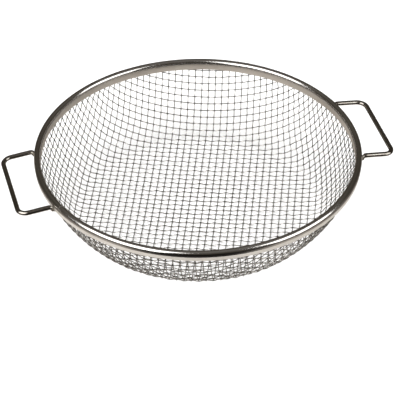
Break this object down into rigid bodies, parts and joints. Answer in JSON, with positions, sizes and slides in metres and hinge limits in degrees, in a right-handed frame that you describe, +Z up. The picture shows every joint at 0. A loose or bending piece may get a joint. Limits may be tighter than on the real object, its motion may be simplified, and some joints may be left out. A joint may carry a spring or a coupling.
{
  "type": "soil sieve",
  "caption": "Round garden sieve: a dished bowl of square-woven stainless wire in a rolled steel rim, with a bent wire handle welded to each side.",
  "frame": {"origin": "below the middle of the bowl, at the level of its lowest wire, where it stands on a surface", "axes": "+X towards the right-hand handle, +Y towards the back, +Z up out of the bowl's mouth"},
  "size_m": [0.3534, 0.3, 0.0686],
  "materials": {
    "polished_rim": "polished stainless, bright bead with a satin skirt below it",
    "cloth_wire": "drawn stainless wire, satin",
    "handle_steel": "bright drawn stainless wire",
    "weld_steel": "cleaned weld metal, slightly rough",
    "core_steel": "plain drawn wire, hidden in the rim"
  },
  "bodies": {
    "root": {"rim_strip": "polished_rim", "rim_seam_weld": "weld_steel", "rim_core_wire": "core_steel", "left_handle": "handle_steel", "right_handle": "handle_steel", "left_handle_welds": "weld_steel", "right_handle_welds": "weld_steel", "warp_wires_1": "cloth_wire", "warp_wires_2": "cloth_wire", "warp_wires_3": "cloth_wire", "warp_wires_4": "cloth_wire", "warp_wires_5": "cloth_wire", "warp_wires_6": "cloth_wire", "warp_wires_7": "cloth_wire", "warp_wires_8": "cloth_wire", "weft_wires_1": "cloth_wire", "weft_wires_2": "cloth_wire", "weft_wires_3": "cloth_wire", "weft_wires_4": "cloth_wire", "weft_wires_5": "cloth_wire", "weft_wires_6": "cloth_wire", "weft_wires_7": "cloth_wire", "weft_wires_8": "cloth_wire"}
  },
  "joints": []
}
